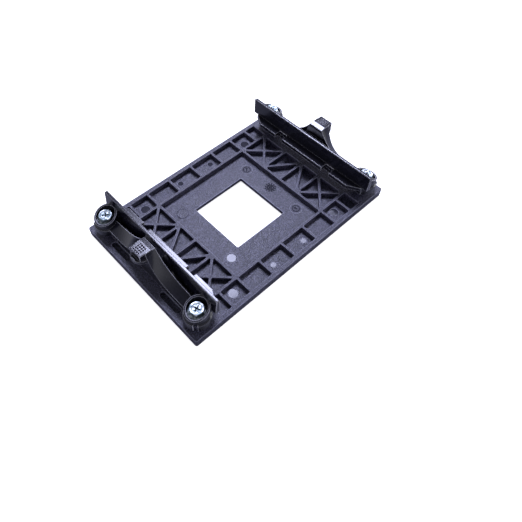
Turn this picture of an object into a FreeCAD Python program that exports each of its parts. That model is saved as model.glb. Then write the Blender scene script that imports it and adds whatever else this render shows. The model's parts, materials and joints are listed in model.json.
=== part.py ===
import FreeCAD, Part
import os
from math import atan2, cos, exp, pi, sin

# Processor cooler holder: a ribbed plastic back plate that lies behind the main board, two clip
# brackets that stand on its posts, and four screws that hold them there.
# Millimetres. +X runs along the plate, +Y across it, +Z up.
# The origin is the centre of the plate's underside.

# Hole pattern of the board, which sets where the posts, eyes and screws stand
HOLE_PITCH_X = 90.0
HOLE_PITCH_Y = 54.0

# Back plate
PLATE_LENGTH = 102.4
PLATE_WIDTH = 66.2
PLATE_HEIGHT = 4.0
PLATE_FLOOR = 1.8
PLATE_CORNER = 0.8
PLATE_EDGE = 0.35
PLATE_MOUTH = 0.2
OPENING = 25.7
OPENING_CORNER = 0.5
RIB = 1.0
PANEL_RIB = 23.35
RIM_INNER = 31.2
SIDE_RIBS = (0.0, 12.0, 23.35, 32.35)
TRUSS_END = 37.4
TRUSS_STEP = 9.7
POCKET_CORNER = 0.4
POST_RADIUS = 3.4
POST_TOP = 7.9
POST_ROUND = 0.3
RECESS_X = 48.0
RECESS_Y = 15.0
RECESS_WIDTH = 2.4
RECESS_LENGTH = 11.0
RECESS_DEPTH = 1.2
PIN_MARK_HEIGHT = 0.1
PANEL_MARK = (18.1, 14.8, 2.6)
CORNER_MARK = (28.1, 26.7, 2.1)
ROW_MARK = (8.4, 28.0, 1.4)

# Threaded insert in each post
INSERT_RADIUS = 2.5
INSERT_PRESS = 0.01
INSERT_FLANGE_RADIUS = 3.4
INSERT_FLANGE_HEIGHT = 1.0
INSERT_LOW = 0.2
INSERT_BORE = 1.80
INSERT_MOUTH = 0.4

# Screw: hex washer head with a cross recess
SCREW_RADIUS = 1.755
SCREW_LENGTH = 8.0
SCREW_TIP = 0.5
WASHER_RADIUS = 3.5
WASHER_HEIGHT = 0.8
HEX_FLATS = 5.1
HEAD_HEIGHT = 2.8
HEX_CHAMFER = 0.3
CROSS_WIDTH = 0.8
CROSS_LENGTH = 3.2
CROSS_FLOOR = 2.0
CROSS_DEPTH = 1.5

# Clip bracket, described for the +X end
WALL_INNER = 39.2
WALL_TOP_OUTER = 40.5
WALL_FOOT_OUTER = 41.5
WALL_TOP = 18.0
WALL_HALF = 32.35
WALL_ROUND = 0.35
WEB_LOW = 7.0
WEB_TOP = 8.5
WING_START = 30.0
WING_LOW = 10.8
LEDGE_INNER = 35.6
LEDGE_NOTCH = 38.7
LEDGE_TOP = 11.0
LEDGE_LOW = 9.2
LEDGE_CENTRE_HALF = 11.4
LEDGE_END_START = 15.5
LEDGE_END_STOP = 24.5
LEDGE_TIP = 29.8
LEDGE_ROUND = 0.25
BEAM_INNER = 42.9
BEAM_OUTER = 47.3
BEAM_WALL = 1.2
CORE_END = 21.0
GUSSET_FOOT = 8.0
# Falling edges seen along X, each with its (y, z) start by the lug, its (y, z) end and its run, the
# distance in Y over which the slope eases by a factor of e. A negative run makes the slope steepen.
BEAM_RIDGE = ((3.2, 20.8), (23.5, 11.2), 6.5)
BEAM_BROW = ((3.0, 21.7), (23.5, 9.4), 3.2)
GUSSET_WALL = ((6.2, 17.6), (10.4, GUSSET_FOOT), -4.0)
GUSSET_BEAM = ((4.2, 15.6), (15.0, GUSSET_FOOT), 4.7)
# Number of equal steps in Y that guide the smooth curve along a falling edge
FALL_STEPS = 9
LUG_OUTER = 49.5
LUG_TOP = 21.2
LUG_FRONT_LOW = 18.5
LUG_HALF = 3.0
LUG_ROUND = 0.25
LIP_OUTER = 51.0
LIP_HALF = 3.85
LIP_TOP = 18.3
LIP_LOW = 17.0
EYE_RADIUS = 4.65
EYE_BORE = 3.85
EYE_CREST = 14.6
EYE_OUTER_TOP = 10.9
SEAT_LOW = 8.0
SEAT_TOP = 10.0
SEAT_HOLE = 2.2
SKIRT_RADIUS = 5.3
SKIRT_BORE = 3.8
SKIRT_LOW = 5.8
SKIRT_TOP = 9.3
SKIRT_ROUND = 0.6
SKIRT_FOOT_ROUND = 0.3
SKIRT_SLOTS = ((42.0, 1.5), (178.0, 3.6))

# Gap between a screw head and the seat that it clamps
SEAT_GAP = 0.05

SEAT_Z = SEAT_TOP + SEAT_GAP
HOLES = [
    (sx * HOLE_PITCH_X / 2, sy * HOLE_PITCH_Y / 2)
    for sx in (-1, 1)
    for sy in (-1, 1)
]
UP = FreeCAD.Vector(0, 0, 1)
# Distance under which two positions count as the same
TOUCH = 1e-4


def vec(x, y, z=0.0):
    return FreeCAD.Vector(x, y, z)


def box(x_range, y_range, z_range):
    size = [high - low for low, high in (x_range, y_range, z_range)]
    return Part.makeBox(*size, vec(x_range[0], y_range[0], z_range[0]))


def cylinder(x, y, radius, low, high):
    return Part.makeCylinder(radius, high - low, vec(x, y, low))


def prism_z(points, low, high):
    """Upright prism over a plan outline of (x, y) points."""
    wire = Part.makePolygon([vec(x, y, low) for x, y in points + points[:1]])
    return Part.Face(wire).extrude(vec(0, 0, high - low))


def prism_y(points, low, high):
    """Prism along Y over an outline of (x, z) points."""
    wire = Part.makePolygon([vec(x, low, z) for x, z in points + points[:1]])
    return Part.Face(wire).extrude(vec(0, high - low, 0))


def fuse(solids):
    whole = solids[0]
    for solid in solids[1:]:
        whole = whole.fuse(solid)
    return whole.removeSplitter()


def mirror_y(shape):
    return shape.mirror(vec(0, 0), vec(0, 1))


def both_y(shape):
    return [shape, mirror_y(shape)]


def all_quarters(shape):
    """The shape and its mirror images in the planes x = 0 and y = 0."""
    half = both_y(shape)
    return half + [piece.mirror(vec(0, 0), vec(1, 0)) for piece in half]


def edges_at_height(shape, height):
    return [
        edge for edge in shape.Edges
        if abs(edge.BoundBox.ZMin - height) < TOUCH and abs(edge.BoundBox.ZMax - height) < TOUCH
    ]


def upright_edges(shape):
    return [
        edge for edge in shape.Edges
        if edge.BoundBox.XLength < TOUCH and edge.BoundBox.YLength < TOUCH
    ]


def rounded_block(x_range, y_range, z_range, corner):
    block = box(x_range, y_range, z_range)
    return block.makeFillet(corner, upright_edges(block))


# ---------------------------------------------------------------- back plate

def plate_slab():
    half_x = PLATE_LENGTH / 2
    half_y = PLATE_WIDTH / 2
    slab = rounded_block((-half_x, half_x), (-half_y, half_y), (0, PLATE_HEIGHT), PLATE_CORNER)
    return slab.makeFillet(PLATE_EDGE, edges_at_height(slab, 0))


def truss_cells():
    """Plan outlines of the pockets in the +X truss band, for y > 0."""
    inner = PANEL_RIB
    outer = TRUSS_END
    step = TRUSS_STEP
    middle = ((inner + outer) / 2, (inner + step) / 2)
    corners = [(inner, inner), (outer, inner), (outer, step), (inner, step)]
    crossed = [[corners[i], corners[(i + 1) % 4], middle] for i in range(4)]
    single = [[(inner, 0), (inner, step), (outer, 0)], [(outer, step), (inner, step), (outer, 0)]]
    return crossed + single


def shrink(points):
    """A convex outline moved in by half a rib on every side."""
    count = len(points)
    middle = vec(sum(p[0] for p in points) / count, sum(p[1] for p in points) / count)
    lines = []
    for i in range(count):
        start = vec(*points[i])
        run = (vec(*points[(i + 1) % count]) - start).normalize()
        normal = vec(-run.y, run.x)
        if normal.dot(middle - start) < 0:
            normal = -normal
        lines.append((start + normal * (RIB / 2), run))
    corners = []
    for i in range(count):
        (p, u), (q, v) = lines[i - 1], lines[i]
        along = (q - p).cross(v).z / u.cross(v).z
        corners.append(p + u * along)
    return [(corner.x, corner.y) for corner in corners]


def rectangle(x_range, y_range):
    return [
        (x_range[0], y_range[0]),
        (x_range[1], y_range[0]),
        (x_range[1], y_range[1]),
        (x_range[0], y_range[1]),
    ]


def pocket(outline):
    """Cutter for a blind pocket with rounded corners, from a rib-centre outline."""
    cutter = prism_z(shrink(outline), PLATE_FLOOR, PLATE_HEIGHT + 1)
    return cutter.makeFillet(POCKET_CORNER, upright_edges(cutter))


def plate_pockets():
    cutters = []
    for outline in truss_cells():
        cutters += all_quarters(pocket(outline))
    rim = RIM_INNER + RIB / 2
    stops = SIDE_RIBS + (TRUSS_END + 1.0,)
    for low, high in zip(stops, stops[1:]):
        cutters += all_quarters(pocket(rectangle((low, high), (PANEL_RIB, rim))))
    panel = PANEL_RIB - RIB / 2
    span = (-panel, panel)
    cutters.append(rounded_block(span, span, (PLATE_FLOOR, PLATE_HEIGHT + 1), POCKET_CORNER))
    return cutters


def end_recesses():
    """Rounded slots in the solid ends, beside each post."""
    half_run = (RECESS_LENGTH - RECESS_WIDTH) / 2
    low = PLATE_HEIGHT - RECESS_DEPTH
    x_range = (RECESS_X - RECESS_WIDTH / 2, RECESS_X + RECESS_WIDTH / 2)
    y_range = (RECESS_Y - half_run, RECESS_Y + half_run)
    run = box(x_range, y_range, (low, PLATE_HEIGHT + 1))
    ends = [cylinder(RECESS_X, y, RECESS_WIDTH / 2, low, PLATE_HEIGHT + 1) for y in y_range]
    return all_quarters(fuse([run] + ends))


def ejector_marks():
    """Low round bosses that the mould's ejector pins leave on the floors."""
    marks = []
    for x, y, radius in (PANEL_MARK, CORNER_MARK, ROW_MARK):
        marks += all_quarters(cylinder(x, y, radius, PLATE_FLOOR - 0.5, PLATE_FLOOR + PIN_MARK_HEIGHT))
    return marks


def post(x, y):
    boss = cylinder(x, y, POST_RADIUS, PLATE_FLOOR, POST_TOP)
    return boss.makeFillet(POST_ROUND, edges_at_height(boss, POST_TOP))


def insert_seat(x, y):
    """Cutter for the bore and the flange recess that hold an insert."""
    bore = cylinder(x, y, INSERT_RADIUS, -1, POST_TOP + 1)
    recess = cylinder(x, y, INSERT_FLANGE_RADIUS, -1, INSERT_LOW + INSERT_FLANGE_HEIGHT)
    return bore.fuse(recess)


def backplate():
    half = OPENING / 2
    opening = rounded_block((-half, half), (-half, half), (-1, PLATE_HEIGHT + 1), OPENING_CORNER)
    plate = plate_slab().cut(plate_pockets() + end_recesses() + [opening])
    plate = plate.makeFillet(PLATE_MOUTH, edges_at_height(plate, PLATE_HEIGHT))
    plate = fuse([plate] + ejector_marks() + [post(x, y) for x, y in HOLES])
    return plate.cut([insert_seat(x, y) for x, y in HOLES])


def threaded_insert(x, y):
    flange_top = INSERT_LOW + INSERT_FLANGE_HEIGHT
    flange = cylinder(x, y, INSERT_FLANGE_RADIUS, INSERT_LOW, flange_top)
    sleeve = cylinder(x, y, INSERT_RADIUS + INSERT_PRESS, flange_top - 0.5, POST_TOP - 0.05)
    body = fuse([flange, sleeve])
    mouth = Part.makeCone(
        INSERT_BORE, INSERT_BORE + INSERT_MOUTH, INSERT_MOUTH, vec(x, y, POST_TOP - 0.05 - INSERT_MOUTH)
    )
    return body.cut([cylinder(x, y, INSERT_BORE, -1, POST_TOP + 1), mouth])


# ---------------------------------------------------------------- screw

def hexagon(x, y, flats, low, high):
    radius = flats / 2 / cos(pi / 6)
    points = [(x + radius * cos(i * pi / 3), y + radius * sin(i * pi / 3)) for i in range(6)]
    return prism_z(points, low, high)


def cross_recess(x, y, top):
    """Cutter for the tapered cross in the head."""
    arms = []
    for turn in (0, 90):
        outlines = []
        for length, z in ((CROSS_LENGTH, top + TOUCH), (CROSS_FLOOR, top - CROSS_DEPTH)):
            corners = rectangle((-length / 2, length / 2), (-CROSS_WIDTH / 2, CROSS_WIDTH / 2))
            outlines.append(Part.makePolygon([vec(px, py, z) for px, py in corners + corners[:1]]))
        arm = Part.makeLoft(outlines, True, True)
        arm.rotate(vec(0, 0), UP, turn)
        arm.translate(vec(x, y))
        arms.append(arm)
    return arms


def mounting_screw(x, y):
    head_top = SEAT_Z + HEAD_HEIGHT
    washer = cylinder(x, y, WASHER_RADIUS, SEAT_Z, SEAT_Z + WASHER_HEIGHT)
    washer = washer.makeFillet(WASHER_HEIGHT / 3, edges_at_height(washer, SEAT_Z + WASHER_HEIGHT))
    hexhead = hexagon(x, y, HEX_FLATS, SEAT_Z + WASHER_HEIGHT / 2, head_top)
    crown_radius = HEX_FLATS / 2 / cos(pi / 6) + 0.1
    crown = Part.makeCone(
        crown_radius + HEAD_HEIGHT - HEX_CHAMFER, crown_radius - HEX_CHAMFER, HEAD_HEIGHT, vec(x, y, SEAT_Z)
    )
    shank = cylinder(x, y, SCREW_RADIUS, SEAT_Z - SCREW_LENGTH, SEAT_Z + WASHER_HEIGHT / 2)
    shank = shank.makeChamfer(SCREW_TIP, edges_at_height(shank, SEAT_Z - SCREW_LENGTH))
    return fuse([washer, hexhead.common(crown), shank]).cut(cross_recess(x, y, head_top))


# ---------------------------------------------------------------- clip bracket

def wall():
    profile = [
        (WALL_INNER, WEB_LOW),
        (WALL_FOOT_OUTER, WEB_LOW),
        (WALL_FOOT_OUTER, WEB_TOP),
        (WALL_TOP_OUTER, WALL_TOP),
        (WALL_INNER, WALL_TOP),
    ]
    panel = prism_y(profile, -WALL_HALF, WALL_HALF)
    foot = box((WALL_INNER - 1, WALL_FOOT_OUTER + 1), (WING_START, WALL_HALF + 1), (WEB_LOW - 1, WING_LOW))
    panel = panel.cut(both_y(foot))
    return panel.makeFillet(WALL_ROUND, edges_at_height(panel, WALL_TOP))


def ledge():
    """Shelf on the inner side of the wall, in three segments joined by a narrow strip."""
    root = WALL_INNER + 0.1
    centre = [
        (root, -LEDGE_CENTRE_HALF),
        (root, LEDGE_CENTRE_HALF),
        (LEDGE_INNER, LEDGE_CENTRE_HALF),
        (LEDGE_INNER, -LEDGE_CENTRE_HALF),
    ]
    end = [
        (root, LEDGE_END_START),
        (LEDGE_INNER, LEDGE_END_START),
        (LEDGE_INNER, LEDGE_END_STOP),
        (LEDGE_NOTCH, LEDGE_TIP),
        (root, LEDGE_TIP),
    ]
    segments = [prism_z(centre, LEDGE_LOW, LEDGE_TOP)] + both_y(prism_z(end, LEDGE_LOW, LEDGE_TOP))
    rounded = [piece.makeFillet(LEDGE_ROUND, edges_at_height(piece, LEDGE_TOP)) for piece in segments]
    strip = box((LEDGE_NOTCH, root), (-LEDGE_TIP, LEDGE_TIP), (LEDGE_LOW, LEDGE_TOP))
    return rounded + [strip]


def web():
    """Floor of the groove between the wall and the beam."""
    return box(
        (WALL_FOOT_OUTER - WALL_ROUND, BEAM_INNER + BEAM_WALL / 2),
        (-LEDGE_END_STOP, LEDGE_END_STOP),
        (WEB_LOW, WEB_TOP),
    )


def falling_edge(start, end, run):
    """Evenly spaced (y, z) points on the exponential from the start to the end."""
    width = end[0] - start[0]
    points = []
    for step in range(FALL_STEPS + 1):
        share = step / FALL_STEPS
        fallen = (1 - exp(-share * width / run)) / (1 - exp(-width / run))
        points.append((start[0] + share * width, start[1] + fallen * (end[1] - start[1])))
    return points


def swept_outline(x, edge, drop=0.0, foot=WEB_LOW):
    """Outline across X, level at the foot, whose two flanks both follow the falling edge."""
    side = falling_edge(*edge)
    corners = [(side[-1][0], foot), (side[0][0], side[0][1] - drop)]
    edges = [Part.LineSegment(vec(x, -y, z), vec(x, y, z)).toShape() for y, z in corners]
    for sign in (1, -1):
        flank = Part.BSplineCurve()
        flank.interpolate([vec(x, sign * y, z - drop) for y, z in side])
        edges.append(flank.toShape())
        end = vec(x, sign * side[-1][0], side[-1][1] - drop)
        if abs(end.z - foot) > TOUCH:
            edges.append(Part.LineSegment(end, vec(end.x, end.y, foot)).toShape())
    return Part.Wire(Part.sortEdges(edges)[0])


def lofted(outlines):
    return Part.makeLoft(outlines, True, True)


def beam():
    """Rib from eye to eye, whose top slopes outward and sweeps up in the middle to carry the lug."""
    body = lofted([swept_outline(BEAM_INNER, BEAM_RIDGE), swept_outline(BEAM_OUTER, BEAM_BROW)])
    above = box((BEAM_INNER - 1, BEAM_OUTER + 1), (-LUG_HALF - 1, LUG_HALF + 1), (LUG_TOP, LUG_TOP + 2))
    gusset = lofted([
        swept_outline(WALL_TOP_OUTER - WALL_ROUND, GUSSET_WALL, foot=GUSSET_FOOT),
        swept_outline(BEAM_INNER + BEAM_WALL / 2, GUSSET_BEAM, foot=GUSSET_FOOT),
    ])
    return [body.cut(above), gusset]


def beam_core():
    """Hollow that leaves the beam a shell, open downwards."""
    hollow = lofted([
        swept_outline(BEAM_INNER + BEAM_WALL, BEAM_RIDGE, 2 * BEAM_WALL, WEB_LOW - 1),
        swept_outline(BEAM_OUTER - BEAM_WALL, BEAM_BROW, BEAM_WALL, WEB_LOW - 1),
    ])
    return hollow.common(box((BEAM_INNER, BEAM_OUTER), (-CORE_END, CORE_END), (WEB_LOW - 1, LUG_TOP)))


def lug():
    """Catch that the cooler's clip hooks over."""
    profile = [
        (BEAM_OUTER - BEAM_WALL / 2, LIP_LOW),
        (BEAM_OUTER, LIP_LOW),
        (LUG_OUTER, LUG_FRONT_LOW),
        (LUG_OUTER, LUG_TOP),
        (BEAM_OUTER - BEAM_WALL, LUG_TOP),
    ]
    head = prism_y(profile, -LUG_HALF, LUG_HALF)
    front = [edge for edge in edges_at_height(head, LUG_TOP) if edge.BoundBox.XMax > LUG_OUTER - 0.1]
    return head.makeFillet(LUG_ROUND, front)


def lip():
    """Rounded nose under the catch's outer face."""
    start = vec(BEAM_OUTER - BEAM_WALL / 2, -LIP_HALF, LIP_LOW)
    end = vec(BEAM_OUTER - BEAM_WALL / 2, LIP_HALF, LIP_LOW)
    nose = Part.Arc(end, vec(LIP_OUTER, 0, LIP_LOW), start).toShape()
    outline = Part.Wire([Part.LineSegment(start, end).toShape(), nose])
    plate = Part.Face(outline).extrude(vec(0, 0, LIP_TOP - LIP_LOW))
    curved = [edge for edge in edges_at_height(plate, LIP_TOP) if edge.Length > 2 * LIP_HALF + 0.1]
    return plate.makeFillet(LUG_ROUND, curved)


def skirt(y):
    """Slotted ring under one eye, which stands on the board."""
    x = HOLE_PITCH_X / 2
    ring = cylinder(x, y, SKIRT_RADIUS, SKIRT_LOW, SKIRT_TOP)
    ring = ring.makeFillet(SKIRT_ROUND, edges_at_height(ring, SKIRT_TOP))
    ring = ring.makeFillet(SKIRT_FOOT_ROUND, edges_at_height(ring, SKIRT_LOW))
    cutters = []
    for angle, width in SKIRT_SLOTS:
        slot = box((0, 2 * SKIRT_RADIUS), (-width / 2, width / 2), (SKIRT_LOW - 1, SKIRT_TOP + 1))
        slot.rotate(vec(0, 0), UP, angle if y > 0 else -angle)
        slot.translate(vec(x, y))
        cutters.append(slot)
    return ring.cut(cutters)


def eye(y):
    """Cup for one screw, with a sloping rim, and the bores through it."""
    x = HOLE_PITCH_X / 2
    cup = cylinder(x, y, EYE_RADIUS, SEAT_LOW, EYE_CREST + 1)
    fall = (EYE_CREST - EYE_OUTER_TOP) / (2 * EYE_RADIUS)
    far = 2 * EYE_RADIUS
    above = [
        (x - far, EYE_OUTER_TOP + fall * (EYE_RADIUS + far)),
        (x + far, EYE_OUTER_TOP + fall * (EYE_RADIUS - far)),
        (x + far, EYE_CREST + far),
        (x - far, EYE_CREST + far),
    ]
    cup = cup.cut(prism_y(above, y - far, y + far))
    cutters = [
        cylinder(x, y, EYE_BORE, SEAT_TOP, EYE_CREST + 1),
        cylinder(x, y, SEAT_HOLE, SKIRT_LOW - 1, EYE_CREST),
        cylinder(x, y, SKIRT_BORE, SKIRT_LOW - 1, SEAT_LOW),
    ]
    return cup, cutters


def clip_bracket():
    """The bracket for the +X end."""
    solids = [wall(), web(), lug(), lip()] + beam() + ledge()
    cutters = [beam_core()]
    for y in (-HOLE_PITCH_Y / 2, HOLE_PITCH_Y / 2):
        cup, bores = eye(y)
        solids += [cup, skirt(y)]
        cutters += bores
    return fuse(solids).cut(cutters)


# ---------------------------------------------------------------- assembly

def turned(shape):
    other = shape.copy()
    other.rotate(vec(0, 0), UP, 180)
    return other


def assembly():
    right = clip_bracket()
    pieces = {"backplate": backplate(), "clip_bracket_right": right, "clip_bracket_left": turned(right)}
    for x, y in HOLES:
        place = ("left" if x < 0 else "right") + ("_front" if y < 0 else "_rear")
        pieces["threaded_insert_" + place] = threaded_insert(x, y)
        pieces["mounting_screw_" + place] = mounting_screw(x, y)
    return pieces


os.makedirs("parts", exist_ok=True)
for name, piece in assembly().items():
    piece.exportStep(os.path.join("parts", name + ".step"))
    bounds = piece.BoundBox
    print(name, len(piece.Solids), piece.isValid(), round(piece.Volume, 1), bounds)
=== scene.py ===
import json
import math

import bmesh
import bpy
from mathutils import Matrix, Vector


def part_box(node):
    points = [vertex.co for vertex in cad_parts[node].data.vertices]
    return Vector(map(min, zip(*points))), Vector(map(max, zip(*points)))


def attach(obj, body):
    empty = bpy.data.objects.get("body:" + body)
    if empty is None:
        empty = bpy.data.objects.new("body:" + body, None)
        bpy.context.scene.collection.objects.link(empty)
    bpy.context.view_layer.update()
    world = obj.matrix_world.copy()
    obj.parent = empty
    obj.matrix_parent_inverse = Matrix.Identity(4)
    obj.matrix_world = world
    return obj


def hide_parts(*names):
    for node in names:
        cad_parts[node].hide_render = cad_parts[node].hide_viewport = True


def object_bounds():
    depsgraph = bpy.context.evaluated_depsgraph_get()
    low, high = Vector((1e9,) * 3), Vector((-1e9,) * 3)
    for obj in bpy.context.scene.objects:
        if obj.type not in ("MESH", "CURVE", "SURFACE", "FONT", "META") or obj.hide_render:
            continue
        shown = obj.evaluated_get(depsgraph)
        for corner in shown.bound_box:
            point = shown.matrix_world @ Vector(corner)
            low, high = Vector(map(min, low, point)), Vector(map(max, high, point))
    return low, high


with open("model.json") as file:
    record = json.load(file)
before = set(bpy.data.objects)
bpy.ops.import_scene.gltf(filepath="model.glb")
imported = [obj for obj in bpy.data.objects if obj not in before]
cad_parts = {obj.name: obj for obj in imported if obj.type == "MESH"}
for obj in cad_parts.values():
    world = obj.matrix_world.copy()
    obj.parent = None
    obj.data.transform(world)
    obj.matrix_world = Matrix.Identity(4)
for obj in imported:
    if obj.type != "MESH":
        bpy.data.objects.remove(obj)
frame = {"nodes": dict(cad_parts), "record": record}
cad_low, cad_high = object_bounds()
nodes = frame["nodes"]

# Processor cooler holder: a ribbed back plate, two clip brackets, four screws and four inserts.
# Meshes are made in millimetres and scaled by MM once they are done. All else is in metres.
MM = 0.001
PLACES = ("left_front", "left_rear", "right_front", "right_rear")

# ---------------------------------------------------------------- camera

CAMERA_PLACE = Vector((-0.08755, -0.09131, 0.16052))
CAMERA_AIM = Vector((-0.01653, -0.01462, 0.0060))
CAMERA_ROLL = math.radians(0.219)
CAMERA_LENS = 33.855
CAMERA_SHIFT = (0.0517, -0.022)


def make_camera():
    data = bpy.data.cameras.new("camera")
    data.sensor_width = 36.0
    data.lens = CAMERA_LENS
    data.shift_x, data.shift_y = CAMERA_SHIFT
    data.clip_start = 0.005
    data.clip_end = 20.0
    camera = bpy.data.objects.new("camera", data)
    bpy.context.scene.collection.objects.link(camera)
    look = (CAMERA_AIM - CAMERA_PLACE).to_track_quat("-Z", "Y").to_matrix().to_4x4()
    camera.matrix_world = Matrix.Translation(CAMERA_PLACE) @ look @ Matrix.Rotation(CAMERA_ROLL, 4, "Z")
    bpy.context.scene.camera = camera


# ---------------------------------------------------------------- stage

FLOOR_HALF = 2.0
FLOOR_GAP = 0.0001
FLOOR_SEEN = (0.93, 0.93, 0.93, 1.0)
FLOOR_BOUNCE = (0.30, 0.30, 0.34, 1.0)
FLOOR_GLOW = 0.8
FLOOR_ROUGHNESS = 0.9
FLOOR_SPECULAR = 0.1

BACK_SOFTBOX = {
    "place": (0.48, 0.50, 1.0), "size": (0.50, 0.305), "power": 20.0, "colour": (0.68, 0.71, 1.0),
}
SIDE_SOFTBOX = {
    "place": (0.70, -0.45, 0.35), "size": (0.30, 0.30), "power": 3.0, "colour": (0.9, 0.92, 1.0),
}
TENT_COLOUR = (0.86, 0.87, 1.0, 1.0)
# Height of a direction where the tent starts and stops dimming, and its strength at each of them
TENT_RANGE = (0.25, 0.75, 1.25, 0.20)


def floor_material():
    """Pale to look at, and a duller grey in what it throws back on the object."""
    material = bpy.data.materials.new("floor_white")
    material.use_nodes = True
    tree = material.node_tree
    seen = tree.nodes["Principled BSDF"]
    seen.inputs["Base Color"].default_value = FLOOR_SEEN
    seen.inputs["Roughness"].default_value = FLOOR_ROUGHNESS
    seen.inputs["Specular IOR Level"].default_value = FLOOR_SPECULAR
    seen.inputs["Emission Color"].default_value = (1.0, 1.0, 1.0, 1.0)
    seen.inputs["Emission Strength"].default_value = FLOOR_GLOW
    bounce = tree.nodes.new("ShaderNodeBsdfDiffuse")
    bounce.inputs["Color"].default_value = FLOOR_BOUNCE
    rays = tree.nodes.new("ShaderNodeLightPath")
    mix = tree.nodes.new("ShaderNodeMixShader")
    tree.links.new(rays.outputs["Is Camera Ray"], mix.inputs["Fac"])
    tree.links.new(bounce.outputs["BSDF"], mix.inputs[1])
    tree.links.new(seen.outputs["BSDF"], mix.inputs[2])
    tree.links.new(mix.outputs["Shader"], tree.nodes["Material Output"].inputs["Surface"])
    return material


def make_floor():
    mesh = bpy.data.meshes.new("floor")
    signs = ((-1, -1), (1, -1), (1, 1), (-1, 1))
    level = cad_low.z - FLOOR_GAP
    mesh.from_pydata([(x * FLOOR_HALF, y * FLOOR_HALF, level) for x, y in signs], [], [(0, 1, 2, 3)])
    mesh.materials.append(floor_material())
    floor = bpy.data.objects.new("floor", mesh)
    bpy.context.scene.collection.objects.link(floor)


def area_light(name, place, size, power, colour, aim=None):
    """Rectangular light that shines straight down, or at its aim."""
    data = bpy.data.lights.new(name, "AREA")
    data.shape = "RECTANGLE"
    data.size, data.size_y = size
    data.energy = power
    data.color = colour
    light = bpy.data.objects.new(name, data)
    bpy.context.scene.collection.objects.link(light)
    light.location = place
    if aim is not None:
        light.rotation_euler = (Vector(aim) - Vector(place)).to_track_quat("-Z", "Y").to_euler()


def tent():
    """Light tent: bright white sides under a dim top."""
    world = bpy.data.worlds.new("tent")
    world.use_nodes = True
    tree = world.node_tree
    direction = tree.nodes.new("ShaderNodeTexCoord").outputs["Generated"]
    split = tree.nodes.new("ShaderNodeSeparateXYZ")
    fall = tree.nodes.new("ShaderNodeMapRange")
    fall.interpolation_type = "SMOOTHSTEP"
    for socket, value in zip(("From Min", "From Max", "To Min", "To Max"), TENT_RANGE):
        fall.inputs[socket].default_value = value
    background = tree.nodes["Background"]
    background.inputs["Color"].default_value = TENT_COLOUR
    tree.links.new(direction, split.inputs["Vector"])
    tree.links.new(split.outputs["Z"], fall.inputs["Value"])
    tree.links.new(fall.outputs["Result"], background.inputs["Strength"])
    return world


def make_lights():
    area_light("back_softbox", **BACK_SOFTBOX)
    area_light("side_softbox", aim=(0, 0, 0), **SIDE_SOFTBOX)
    bpy.context.scene.world = tent()
    bpy.context.scene.view_settings.view_transform = "Standard"


# ---------------------------------------------------------------- materials

CLOUD_SIZE = 0.012
SCRATCH_SIZE = 0.0016
SCRATCH_STRETCH = (0.12, 1.0, 1.0)
SCRATCH_DEPTH = 0.000006
PLASTIC_IOR = 1.53
# Depth over which an outer edge gets a painted highlight, and the range of openness that fades it out
HIGHLIGHT_REACH = 0.0003
HIGHLIGHT_RANGE = (0.70, 0.93)
TINT_SIZE = 0.0011
DENT_DEPTH = 0.0004
TOOL_LINE_SIZE = 0.00035
TOOL_LINE_DEPTH = 0.00003


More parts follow.
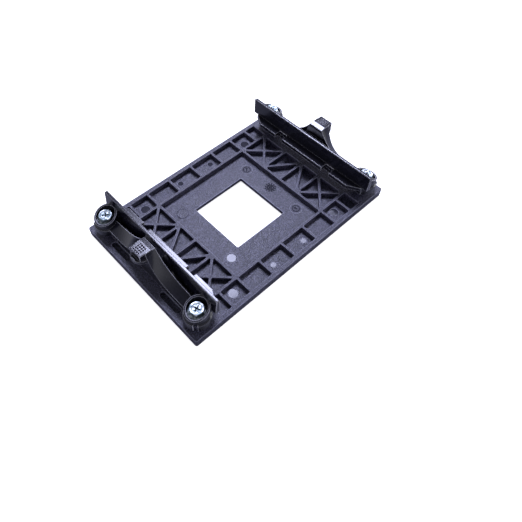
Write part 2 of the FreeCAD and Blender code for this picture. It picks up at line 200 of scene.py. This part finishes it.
class Nodes:
    """Short names for the shader nodes that the materials share."""

    def __init__(self, name):
        self.material = bpy.data.materials.new(name)
        self.material.use_nodes = True
        self.tree = self.material.node_tree
        self.shader = self.tree.nodes["Principled BSDF"]
        self.place = self.tree.nodes.new("ShaderNodeTexCoord").outputs["Object"]

    def node(self, kind, **settings):
        node = self.tree.nodes.new(kind)
        for key, value in settings.items():
            setattr(node, key, value)
        return node

    def link(self, start, end):
        self.tree.links.new(start, end)

    def noise(self, size, detail=3.0, roughness=0.5, stretch=(1, 1, 1)):
        """Noise whose features are about `size` metres across."""
        mapping = self.node("ShaderNodeMapping")
        mapping.inputs["Scale"].default_value = [axis / size for axis in stretch]
        self.link(self.place, mapping.inputs["Vector"])
        noise = self.node("ShaderNodeTexNoise")
        noise.inputs["Scale"].default_value = 1.0
        noise.inputs["Detail"].default_value = detail
        noise.inputs["Roughness"].default_value = roughness
        self.link(mapping.outputs["Vector"], noise.inputs["Vector"])
        return noise.outputs["Fac"]

    def spread(self, value, low, high, out_low=0.0, out_high=1.0):
        """The value's stretch from low to high, spread over another range."""
        node = self.node("ShaderNodeMapRange")
        node.inputs["From Min"].default_value = low
        node.inputs["From Max"].default_value = high
        node.inputs["To Min"].default_value = out_low
        node.inputs["To Max"].default_value = out_high
        self.link(value, node.inputs["Value"])
        return node.outputs["Result"]

    def math(self, operation, first, second):
        node = self.node("ShaderNodeMath", operation=operation)
        for socket, value in zip(node.inputs, (first, second)):
            if isinstance(value, (int, float)):
                socket.default_value = value
            else:
                self.link(value, socket)
        return node.outputs["Value"]

    def mix(self, factor, first, second):
        node = self.node("ShaderNodeMix", data_type="RGBA")
        self.link(factor, node.inputs["Factor"])
        for socket, value in ((node.inputs["A"], first), (node.inputs["B"], second)):
            if isinstance(value, tuple):
                socket.default_value = (*value, 1.0)
            else:
                self.link(value, socket)
        return node.outputs["Result"]

    def edges(self, reach):
        """How much a point lies on an outer edge, by how soon rays into the body come out again."""
        inside = self.node("ShaderNodeAmbientOcclusion", inside=True, only_local=True, samples=6)
        inside.inputs["Distance"].default_value = reach
        return self.spread(inside.outputs["AO"], *HIGHLIGHT_RANGE, 1.0, 0.0)

    def bump(self, layers):
        """Bump from (height, depth in metres, strength) layers."""
        normal = None
        for height, depth, strength in layers:
            bump = self.node("ShaderNodeBump")
            bump.inputs["Distance"].default_value = depth
            bump.inputs["Strength"].default_value = strength
            self.link(height, bump.inputs["Height"])
            if normal is not None:
                self.link(normal, bump.inputs["Normal"])
            normal = bump.outputs["Normal"]
        self.link(normal, self.shader.inputs["Normal"])

    def colour(self, value):
        self.link(value, self.shader.inputs["Base Color"])

    def roughness(self, value):
        self.link(value, self.shader.inputs["Roughness"])


def moulded_plastic(name, dark, light, roughness, grain, grain_depth, specular, edge_highlight):
    """Black moulded plastic: eroded grain, cloudy gloss, fine scratches, and a paler colour painted on
    outer edges as a highlight.
    """
    look = Nodes(name)
    clouds = look.noise(CLOUD_SIZE, detail=4.0)
    specks = look.noise(grain, detail=2.0, roughness=0.6)
    scratches = look.noise(SCRATCH_SIZE, detail=5.0, roughness=0.7, stretch=SCRATCH_STRETCH)
    base = look.mix(look.spread(specks, 0.43, 0.60), dark, light)
    # Painted highlight: a paler colour laid on outer edges, patchy with the clouds
    highlight_mask = look.math("MULTIPLY", look.edges(HIGHLIGHT_REACH), look.spread(clouds, 0.3, 0.6, 0.45, 1.0))
    look.colour(look.mix(highlight_mask, base, edge_highlight))
    cloudy = look.spread(clouds, 0.3, 0.7, roughness - 0.015, roughness + 0.02)
    marks = look.spread(scratches, 0.58, 0.75, 0.0, 0.06)
    look.roughness(look.math("ADD", cloudy, marks))
    look.bump([(specks, grain_depth, 1.0), (scratches, SCRATCH_DEPTH, 0.3)])
    look.shader.inputs["Specular IOR Level"].default_value = specular
    look.shader.inputs["IOR"].default_value = PLASTIC_IOR
    return look.material


def plated_metal(name, pale, tint, roughness, stretch):
    """Plated or turned metal: fine tool lines, patches of tint and small dents."""
    look = Nodes(name)
    patches = look.noise(TINT_SIZE, detail=3.0)
    lines = look.noise(TOOL_LINE_SIZE, detail=4.0, roughness=0.6, stretch=stretch)
    look.colour(look.mix(look.spread(patches, 0.4, 0.6), pale, tint))
    worn = look.spread(patches, 0.3, 0.7, roughness - 0.08, roughness + 0.12)
    look.roughness(look.math("ADD", worn, look.spread(lines, 0.4, 0.7, 0.0, 0.08)))
    look.bump([(lines, TOOL_LINE_DEPTH, 0.4), (patches, DENT_DEPTH, 0.6)])
    look.shader.inputs["Metallic"].default_value = 1.0
    return look.material


# Each plastic's third colour is painted on its outer edges as a highlight; strongest on the brackets,
# then the plate
PLASTICS = {
    "plate_plastic": {
        "dark": (0.004, 0.004, 0.012), "light": (0.064, 0.062, 0.105), "edge_highlight": (0.30, 0.30, 0.40),
        "roughness": 0.37, "grain": 0.00050, "grain_depth": 0.00026, "specular": 0.52,
    },
    "pin_marks": {
        "dark": (0.004, 0.004, 0.010), "light": (0.009, 0.008, 0.018), "edge_highlight": (0.012, 0.012, 0.022),
        "roughness": 0.14, "grain": 0.0006, "grain_depth": 0.000004, "specular": 0.20,
    },
    "sunk_marks": {
        "dark": (0.002, 0.002, 0.006), "light": (0.006, 0.005, 0.012), "edge_highlight": (0.006, 0.006, 0.012),
        "roughness": 0.55, "grain": 0.0006, "grain_depth": 0.00003, "specular": 0.05,
    },
    "bracket_plastic": {
        "dark": (0.004, 0.004, 0.008), "light": (0.008, 0.008, 0.013), "edge_highlight": (0.64, 0.64, 0.71),
        "roughness": 0.19, "grain": 0.0006, "grain_depth": 0.000004, "specular": 0.46,
    },
}
METALS = {
    "zinc_steel": {
        "pale": (0.52, 0.56, 0.56), "tint": (0.16, 0.21, 0.22), "roughness": 0.38, "stretch": (1, 1, 0.2),
    },
    "insert_brass": {
        "pale": (0.60, 0.46, 0.24), "tint": (0.44, 0.32, 0.15), "roughness": 0.34, "stretch": (1, 1, 4),
    },
}


def make_looks():
    made = {name: moulded_plastic(name, **settings) for name, settings in PLASTICS.items()}
    made.update({name: plated_metal(name, **settings) for name, settings in METALS.items()})
    return made


# ---------------------------------------------------------------- shared mesh work

def add_piece(name, mesh, body, slot, replaced=None, look=None):
    piece = bpy.data.objects.new(name, mesh)
    bpy.context.scene.collection.objects.link(piece)
    mesh.materials.clear()
    mesh.materials.append(looks[look or slot])
    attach(piece, body)
    if replaced is not None:
        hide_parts(replaced)
    return piece


def mesh_with(name, mesh, steps):
    """The mesh after a list of modifiers, each given as its kind and its settings."""
    holder = bpy.data.objects.new(name, mesh)
    bpy.context.scene.collection.objects.link(holder)
    for kind, settings in steps:
        modifier = holder.modifiers.new(kind.lower(), kind)
        for key, value in settings.items():
            setattr(modifier, key, value)
    bpy.context.view_layer.update()
    result = bpy.data.meshes.new_from_object(holder.evaluated_get(bpy.context.evaluated_depsgraph_get()))
    result.name = name
    bpy.data.objects.remove(holder)
    return result


def shade_by_angle(mesh, degrees):
    mesh.shade_smooth()
    bm = bmesh.new()
    bm.from_mesh(mesh)
    limit = math.radians(degrees)
    for edge in bm.edges:
        edge.smooth = len(edge.link_faces) == 2 and edge.calc_face_angle(0.0) < limit
    bm.to_mesh(mesh)
    bm.free()


def ringed_mesh(name, rings, turns, closed=False):
    """Round mesh about Z from (height, radius) rings, where a radius may be a function of the angle.

    The first and last rings are capped, or joined to each other when the mesh is closed."""
    bm = bmesh.new()
    angles = [2 * math.pi * i / turns for i in range(turns)]
    loops = []
    for height, radius in rings:
        spans = [radius(angle) if callable(radius) else radius for angle in angles]
        loops.append([
            bm.verts.new((span * math.cos(angle), span * math.sin(angle), height))
            for span, angle in zip(spans, angles)
        ])
    pairs = list(zip(loops, loops[1:]))
    if closed:
        pairs.append((loops[-1], loops[0]))
    for lower, upper in pairs:
        for i in range(turns):
            j = (i + 1) % turns
            bm.faces.new((lower[i], lower[j], upper[j], upper[i]))
    if not closed:
        bm.faces.new(list(reversed(loops[0])))
        bm.faces.new(loops[-1])
    bmesh.ops.recalc_face_normals(bm, faces=bm.faces)
    mesh = bpy.data.meshes.new(name)
    bm.to_mesh(mesh)
    bm.free()
    return mesh


def joined(name, meshes):
    bm = bmesh.new()
    for mesh in meshes:
        bm.from_mesh(mesh)
    whole = bpy.data.meshes.new(name)
    bm.to_mesh(whole)
    bm.free()
    return whole


def block(x_range, y_range, z_range, turn=0.0, shift=(0.0, 0.0)):
    """Closed block, turned about Z and then shifted."""
    bm = bmesh.new()
    bmesh.ops.create_cube(bm, size=1.0)
    spans = (x_range, y_range, z_range)
    for vertex in bm.verts:
        for axis, (low, high) in enumerate(spans):
            vertex.co[axis] = low if vertex.co[axis] < 0 else high
    bmesh.ops.rotate(bm, verts=bm.verts, matrix=Matrix.Rotation(turn, 3, "Z"))
    bmesh.ops.translate(bm, verts=bm.verts, vec=(*shift, 0.0))
    mesh = bpy.data.meshes.new("block")
    bm.to_mesh(mesh)
    bm.free()
    return mesh


def placed(pattern, node, turn=0.0):
    """Copy of a mesh made in millimetres about Z, turned and put where its CAD node stands."""
    low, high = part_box(node)
    middle = (low + high) / 2
    mesh = pattern.copy()
    mesh.transform(Matrix.Rotation(turn, 4, "Z"))
    mesh.transform(Matrix.Scale(MM, 4))
    mesh.transform(Matrix.Translation((middle.x, middle.y, 0)))
    return mesh


# ---------------------------------------------------------------- brackets

VOXEL = 0.11
ROUNDING_PASSES = 4
# Share of the faces that is kept once the edges are rounded
BRACKET_KEPT = 0.22
NORMAL_WEIGHT = 80
DIMPLE_ROWS = 4
DIMPLE_PITCH = 0.95
DIMPLE_RADIUS = 0.36
DIMPLE_DEPTH = 0.45
DIMPLE_FLOOR_RADIUS = 0.33
DIMPLE_FLOOR_DROP = 0.05
DIMPLE_FLOOR_FOOT = 0.7
DIMPLE_FLOOR_TURNS = 16
LUG_MIDDLE_FROM_NOSE = 3.8


def dimple_centres(nose):
    """Centres of the square of dimples on the lug, given the X of the bracket's nose."""
    first = -DIMPLE_PITCH * (DIMPLE_ROWS - 1) / 2
    middle = nose - LUG_MIDDLE_FROM_NOSE
    return [
        Vector((middle + first + i * DIMPLE_PITCH, first + j * DIMPLE_PITCH))
        for i in range(DIMPLE_ROWS)
        for j in range(DIMPLE_ROWS)
    ]


def dimple_lug(mesh, centres, top):
    """Presses the square of round dimples into the lug's flat top."""
    for vertex in mesh.vertices:
        if vertex.co.z < top - DIMPLE_DEPTH:
            continue
        nearest = min((vertex.co.xy - centre).length for centre in centres)
        if nearest < DIMPLE_RADIUS:
            vertex.co.z -= DIMPLE_DEPTH * (1 - (nearest / DIMPLE_RADIUS) ** 2)


def moulded_bracket(node):
    """The bracket's mesh with the small radii that a moulded part has on every edge."""
    mesh = nodes[node].data.copy()
    mesh.transform(Matrix.Scale(1 / MM, 4))
    rounding = {"factor": 0.5, "iterations": ROUNDING_PASSES}
    mesh = mesh_with("bracket_rounded", mesh, [
        ("REMESH", {"mode": "VOXEL", "voxel_size": VOXEL}),
        ("SMOOTH", rounding),
    ])
    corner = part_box(node)[1] / MM
    dimple_lug(mesh, dimple_centres(corner.x), corner.z)
    mesh = mesh_with("bracket_kept", mesh, [("DECIMATE", {"ratio": BRACKET_KEPT})])
    mesh.shade_smooth()
    mesh = mesh_with("bracket_kept", mesh, [("WEIGHTED_NORMAL", {"weight": NORMAL_WEIGHT})])
    mesh.transform(Matrix.Scale(MM, 4))
    return mesh


def dimple_floors(node):
    """Dark matte floors a little way down in the lug's dimples."""
    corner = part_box(node)[1] / MM
    rings = [(corner.z - drop, DIMPLE_FLOOR_RADIUS) for drop in (DIMPLE_FLOOR_FOOT, DIMPLE_FLOOR_DROP)]
    floors = []
    for centre in dimple_centres(corner.x):
        floor = ringed_mesh("dimple_floor", rings, DIMPLE_FLOOR_TURNS)
        floor.transform(Matrix.Translation((centre.x, centre.y, 0.0)))
        floors.append(floor)
    mesh = joined("lug_marks", floors)
    mesh.transform(Matrix.Scale(MM, 4))
    shade_by_angle(mesh, MARK_CREASE)
    return mesh


def make_brackets():
    bracket = moulded_bracket("clip_bracket_right")
    marks = dimple_floors("clip_bracket_right")
    for side, turn in (("right", 0.0), ("left", math.pi)):
        body = "bracket_" + side
        moulding, lug_marks = bracket.copy(), marks.copy()
        for mesh in (moulding, lug_marks):
            mesh.transform(Matrix.Rotation(turn, 4, "Z"))
        node = "clip_bracket_" + side
        add_piece(node + "_moulded", moulding, body, "bracket_plastic", node)
        add_piece("lug_marks_" + side, lug_marks, body, "bracket_plastic", look="sunk_marks")


# ---------------------------------------------------------------- screws

SCREW_TURNS = 60
THREAD_PITCH = 0.794
THREAD_STEPS = 10
THREAD_MAJOR = 1.755
THREAD_MINOR = 1.27
THREAD_TIP = 1.15
THREAD_FLANK = 1.25
THREAD_END_BELOW_HEAD = 0.6
THREAD_RUNOUT = 0.15
NECK_RADIUS = 1.5
NECK_FLARE = 1.62
NECK_FLARE_HEIGHT = 0.1
HEAD_HEIGHT = 2.8
HEX_FLATS = 5.1
# Rise from the seat and radius
WASHER_PROFILE = ((0.0, 3.42), (0.08, 3.5), (0.42, 3.5), (0.56, 3.44), (0.66, 3.25), (0.80, 2.96))
HEX_FOOT = 0.05
# Drop from the top of the head, and how much of the hexagon's corners is cut off there
HEX_CROWN = ((-0.62, 0.0), (-0.42, 0.05), (-0.16, 0.26), (0.0, 0.50))
# Drop from the top of the head and radius
DISH = ((0.0, 1.98), (-0.06, 1.90), (-0.22, 1.74), (-0.25, 1.60))
CROSS_ARM = 1.55
CROSS_HALF = 0.36
CROSS_DEPTH = 1.6
CROSS_TAPER = 0.45
CROSS_SIDE_TAPER = 0.7
CUTTER_RISE = 0.5
SCREW_CREASE = 28
SCREW_CLEARANCE = 0.01
# Degrees at which the first screw happened to stop, and from one screw to the next
SCREW_TURN = 17
SCREW_TURN_STEP = 41


def hex_radius(angle):
    sector = (angle + math.pi / 6) % (math.pi / 3) - math.pi / 6
    return HEX_FLATS / 2 / math.cos(sector)


def thread_ring(height, tip):
    """Radius around a V thread at one height, thinned to a cone at the tip."""
    cone = THREAD_TIP + (height - tip)

    def radius(angle):
        phase = (height / THREAD_PITCH - angle / (2 * math.pi)) % 1.0
        crest = min(1.0, THREAD_FLANK * (1 - abs(2 * phase - 1)))
        return min(cone, THREAD_MINOR + (THREAD_MAJOR - THREAD_MINOR) * crest)

    return radius


def chamfered_hex(cut):
    corner = HEX_FLATS / 2 / math.cos(math.pi / 6)
    return lambda angle: min(hex_radius(angle), corner - cut)


def cross_cutter(top):
    """Tapered cross recess as two crossing wedges."""
    arms = []
    for turn in (0.0, math.pi / 2):
        span = (top - CROSS_DEPTH, top + CUTTER_RISE)
        arm = block((-CROSS_ARM, CROSS_ARM), (-CROSS_HALF, CROSS_HALF), span)
        for vertex in arm.vertices:
            if vertex.co.z < top:
                vertex.co.x *= CROSS_TAPER
                vertex.co.y *= CROSS_SIDE_TAPER
        arm.transform(Matrix.Rotation(turn, 4, "Z"))
        arms.append(arm)
    return arms


def screw_mesh(tip, top):
    seat = top - HEAD_HEIGHT
    step = THREAD_PITCH / THREAD_STEPS
    count = int((seat - THREAD_END_BELOW_HEAD - tip) / step)
    heights = [tip + i * step for i in range(count + 1)]
    rings = [(height, thread_ring(height, tip)) for height in heights]
    rings += [(seat - THREAD_END_BELOW_HEAD + THREAD_RUNOUT, NECK_RADIUS)]
    rings += [(seat - NECK_FLARE_HEIGHT, NECK_RADIUS), (seat, NECK_FLARE)]
    rings += [(seat + rise, radius) for rise, radius in WASHER_PROFILE]
    rings += [(seat + WASHER_PROFILE[-1][0] + HEX_FOOT, chamfered_hex(0.0))]
    rings += [(top + drop, chamfered_hex(cut)) for drop, cut in HEX_CROWN]
    rings += [(top + drop, radius) for drop, radius in DISH]
    mesh = ringed_mesh("screw", rings, SCREW_TURNS)
    for arm in cross_cutter(top + DISH[-1][0]):
        cutter = bpy.data.objects.new("cutter", arm)
        bpy.context.scene.collection.objects.link(cutter)
        mesh = mesh_with("screw", mesh, [
            ("BOOLEAN", {"operation": "DIFFERENCE", "solver": "EXACT", "object": cutter}),
        ])
        bpy.data.objects.remove(cutter)
    shade_by_angle(mesh, SCREW_CREASE)
    return mesh


def make_screws():
    low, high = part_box("mounting_screw_" + PLACES[0])
    pattern = screw_mesh(low.z / MM, high.z / MM - SCREW_CLEARANCE)
    for index, place in enumerate(PLACES):
        node = "mounting_screw_" + place
        mesh = placed(pattern, node, math.radians(SCREW_TURN + SCREW_TURN_STEP * index))
        add_piece("screw_" + place, mesh, "screw_" + place, "zinc_steel", node)


# ---------------------------------------------------------------- inserts

INSERT_TURNS = 60
INSERT_BORE = 1.82
INSERT_GROOVE = 2.12
INSERT_STEPS = 6
KNURL_TEETH = 15
KNURL_DEPTH = 0.14
KNURL_LEAN = 0.9
KNURL_STEP = 0.3
KNURL_START = 0.2
KNURL_END = 0.5
INSERT_SLEEVE = 2.5
SLEEVE_ROOT = INSERT_SLEEVE - KNURL_DEPTH
# Rise from the foot and radius
FLANGE_PROFILE = ((0.0, 3.23), (0.12, 3.38), (0.9, 3.38), (1.0, 3.28), (1.0, SLEEVE_ROOT))
# Drop from the top and radius
SLEEVE_PROFILE = ((-0.35, SLEEVE_ROOT), (-0.05, SLEEVE_ROOT), (0.0, 2.25), (0.0, INSERT_GROOVE + 0.05))
INSERT_THREAD_START = 0.4
INSERT_THREAD_MARGIN = 0.7
INSERT_CREASE = 40


def knurl_ring(height):
    def radius(angle):
        one = math.cos(KNURL_TEETH * angle + KNURL_LEAN * height * 2 * math.pi)
        other = math.cos(KNURL_TEETH * angle - KNURL_LEAN * height * 2 * math.pi)
        return INSERT_SLEEVE - KNURL_DEPTH * (1 - max(one, other)) / 2

    return radius


def groove_ring(height):
    def radius(angle):
        phase = (height / THREAD_PITCH - angle / (2 * math.pi)) % 1.0
        return INSERT_BORE + (INSERT_GROOVE - INSERT_BORE) * (1 - abs(2 * phase - 1))

    return radius


def insert_mesh(foot, top):
    outer = [(foot + rise, radius) for rise, radius in FLANGE_PROFILE]
    flange = outer[-1][0]
    count = int((top - KNURL_END - flange) / KNURL_STEP)
    outer += [(flange + KNURL_START + i * KNURL_STEP, knurl_ring(i * KNURL_STEP)) for i in range(count)]
    outer += [(top + drop, radius) for drop, radius in SLEEVE_PROFILE]
    step = THREAD_PITCH / INSERT_STEPS
    start = top - INSERT_THREAD_START
    steps = int((top - foot - INSERT_THREAD_MARGIN) / step)
    inner = [(start - i * step, groove_ring(start - i * step)) for i in range(steps)]
    return ringed_mesh("insert", outer + inner + [(foot, INSERT_GROOVE)], INSERT_TURNS, closed=True)


def make_inserts():
    low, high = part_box("threaded_insert_" + PLACES[0])
    pattern = insert_mesh(low.z / MM, high.z / MM)
    shade_by_angle(pattern, INSERT_CREASE)
    for place in PLACES:
        node = "threaded_insert_" + place
        add_piece("insert_" + place, placed(pattern, node), "base", "insert_brass", node)


# ---------------------------------------------------------------- mould marks on the plate

PANEL_Z = 1.8
BOSS_Z = 1.9
MARK_HEIGHT = 0.07
MARK_SINK = 0.02
MARK_TURNS = 48
MARK_CREASE = 30
DISC_HEIGHT = 0.06
DISC_BEVEL = 0.03
DISC_LIP = 0.16
# Share of a disc's height that its middle has, inside the lip
DISC_MIDDLE = 0.55
# Place and radius of each disc
PIN_MARKS = (
    [(sx * 28.1, sy * 26.7, 1.9) for sx in (-1, 1) for sy in (-1, 1)]
    + [(sx * 8.4, sy * 28.0, 1.2) for sx in (-1, 1) for sy in (-1, 1)]
    + [(-18.1, -14.8, 1.9)]
)
RING_PLACE = (-18.1, 14.8)
RING_RADII = (2.32, 2.56)
RING_BEVEL = 0.04
# Blocks of the marks below are given by their X and Y ranges before they are turned
WHEEL_PLACE = (18.45, 0.5)
WHEEL_RINGS = ((1.05, 1.6), (0.15, 0.72))
WHEEL_TEETH = 12
WHEEL_TOOTH = ((1.72, 2.45), (-0.28, 0.28))
WHEEL_SPOKE = ((0.68, 1.1), (-0.2, 0.2))
TEETH_PER_SPOKE = 3
DIAL_PLACES = ((18.1, 14.8), (18.1, -14.8))
DIAL_RADII = (1.39, 1.75)
DIAL_TICKS = 8
DIAL_TICK = ((1.1, 1.4), (-0.1, 0.1))
DIAL_POINTER = ((-0.8, 0.8), (-0.2, 0.2))
DIAL_BARB = ((-0.6, 0.0), (-0.18, 0.18))
BARB_TURN = 0.6
DIAL_TURN = 0.7


def disc(x, y, radius, level, height):
    """Low polished disc with a fine lip around it."""
    middle = level + height * DISC_MIDDLE
    top = level + height
    rings = [
        (level, radius), (top, radius - DISC_BEVEL), (top, radius - DISC_LIP + DISC_BEVEL),
        (middle, radius - DISC_LIP), (middle, radius / 2),
    ]
    mesh = ringed_mesh("disc", rings, MARK_TURNS)
    mesh.transform(Matrix.Translation((x, y, 0)))
    return mesh


def raised_ring(x, y, inner, outer, level, height):
    rings = [
        (level, inner), (level + height, inner + RING_BEVEL), (level + height, outer - RING_BEVEL),
        (level, outer),
    ]
    mesh = ringed_mesh("ring", rings, MARK_TURNS, closed=True)
    mesh.transform(Matrix.Translation((x, y, 0)))
    return mesh


def wheel_mark(place):
    """Round mark with short teeth outside a ring, and a plain hub."""
    span = (PANEL_Z - MARK_SINK, PANEL_Z + MARK_HEIGHT)
    height = span[1] - span[0]
    parts = [raised_ring(*place, *radii, span[0], height) for radii in WHEEL_RINGS]
    for i in range(WHEEL_TEETH):
        turn = 2 * math.pi * i / WHEEL_TEETH
        parts.append(block(*WHEEL_TOOTH, span, turn, place))
        if i % TEETH_PER_SPOKE == 0:
            parts.append(block(*WHEEL_SPOKE, span, turn, place))
    return parts


def dial_mark(place, turn):
    """Setting dial: a ring, ticks round its inside and one pointer."""
    span = (BOSS_Z - MARK_SINK, BOSS_Z + MARK_HEIGHT)
    parts = [raised_ring(*place, *DIAL_RADII, span[0], span[1] - span[0])]
    for i in range(DIAL_TICKS):
        parts.append(block(*DIAL_TICK, span, turn + 2 * math.pi * i / DIAL_TICKS, place))
    parts.append(block(*DIAL_POINTER, span, turn, place))
    tip = DIAL_POINTER[0][1]
    for side in (-1, 1):
        barb = block(*DIAL_BARB, span, side * BARB_TURN)
        barb.transform(Matrix.Translation((tip, 0, 0)))
        barb.transform(Matrix.Rotation(turn, 4, "Z"))
        barb.transform(Matrix.Translation((*place, 0)))
        parts.append(barb)
    return parts


def make_marks():
    discs = [disc(x, y, radius, BOSS_Z - MARK_SINK, DISC_HEIGHT) for x, y, radius in PIN_MARKS]
    reliefs = wheel_mark(WHEEL_PLACE)
    reliefs.append(raised_ring(*RING_PLACE, *RING_RADII, BOSS_Z - MARK_SINK, MARK_HEIGHT))
    for index, place in enumerate(DIAL_PLACES):
        reliefs += dial_mark(place, DIAL_TURN + index)
    for name, parts, look in (("pin_marks", discs, "pin_marks"), ("mould_dials", reliefs, "sunk_marks")):
        mesh = joined(name, parts)
        mesh.transform(Matrix.Scale(MM, 4))
        shade_by_angle(mesh, MARK_CREASE)
        add_piece(name, mesh, "base", "plate_plastic", look=look)


# ---------------------------------------------------------------- plate

def finish_cad_nodes():
    """Gives each CAD node the look of its slot. Only the plate's own shape stays visible."""
    slots = {part["node"]: part["material_slot"] for part in frame["record"]["subparts"]}
    for name, node in nodes.items():
        for slot in node.material_slots:
            slot.material = looks[slots[name]]


looks = make_looks()
make_camera()
make_floor()
make_lights()
finish_cad_nodes()
make_brackets()
make_screws()
make_inserts()
make_marks()
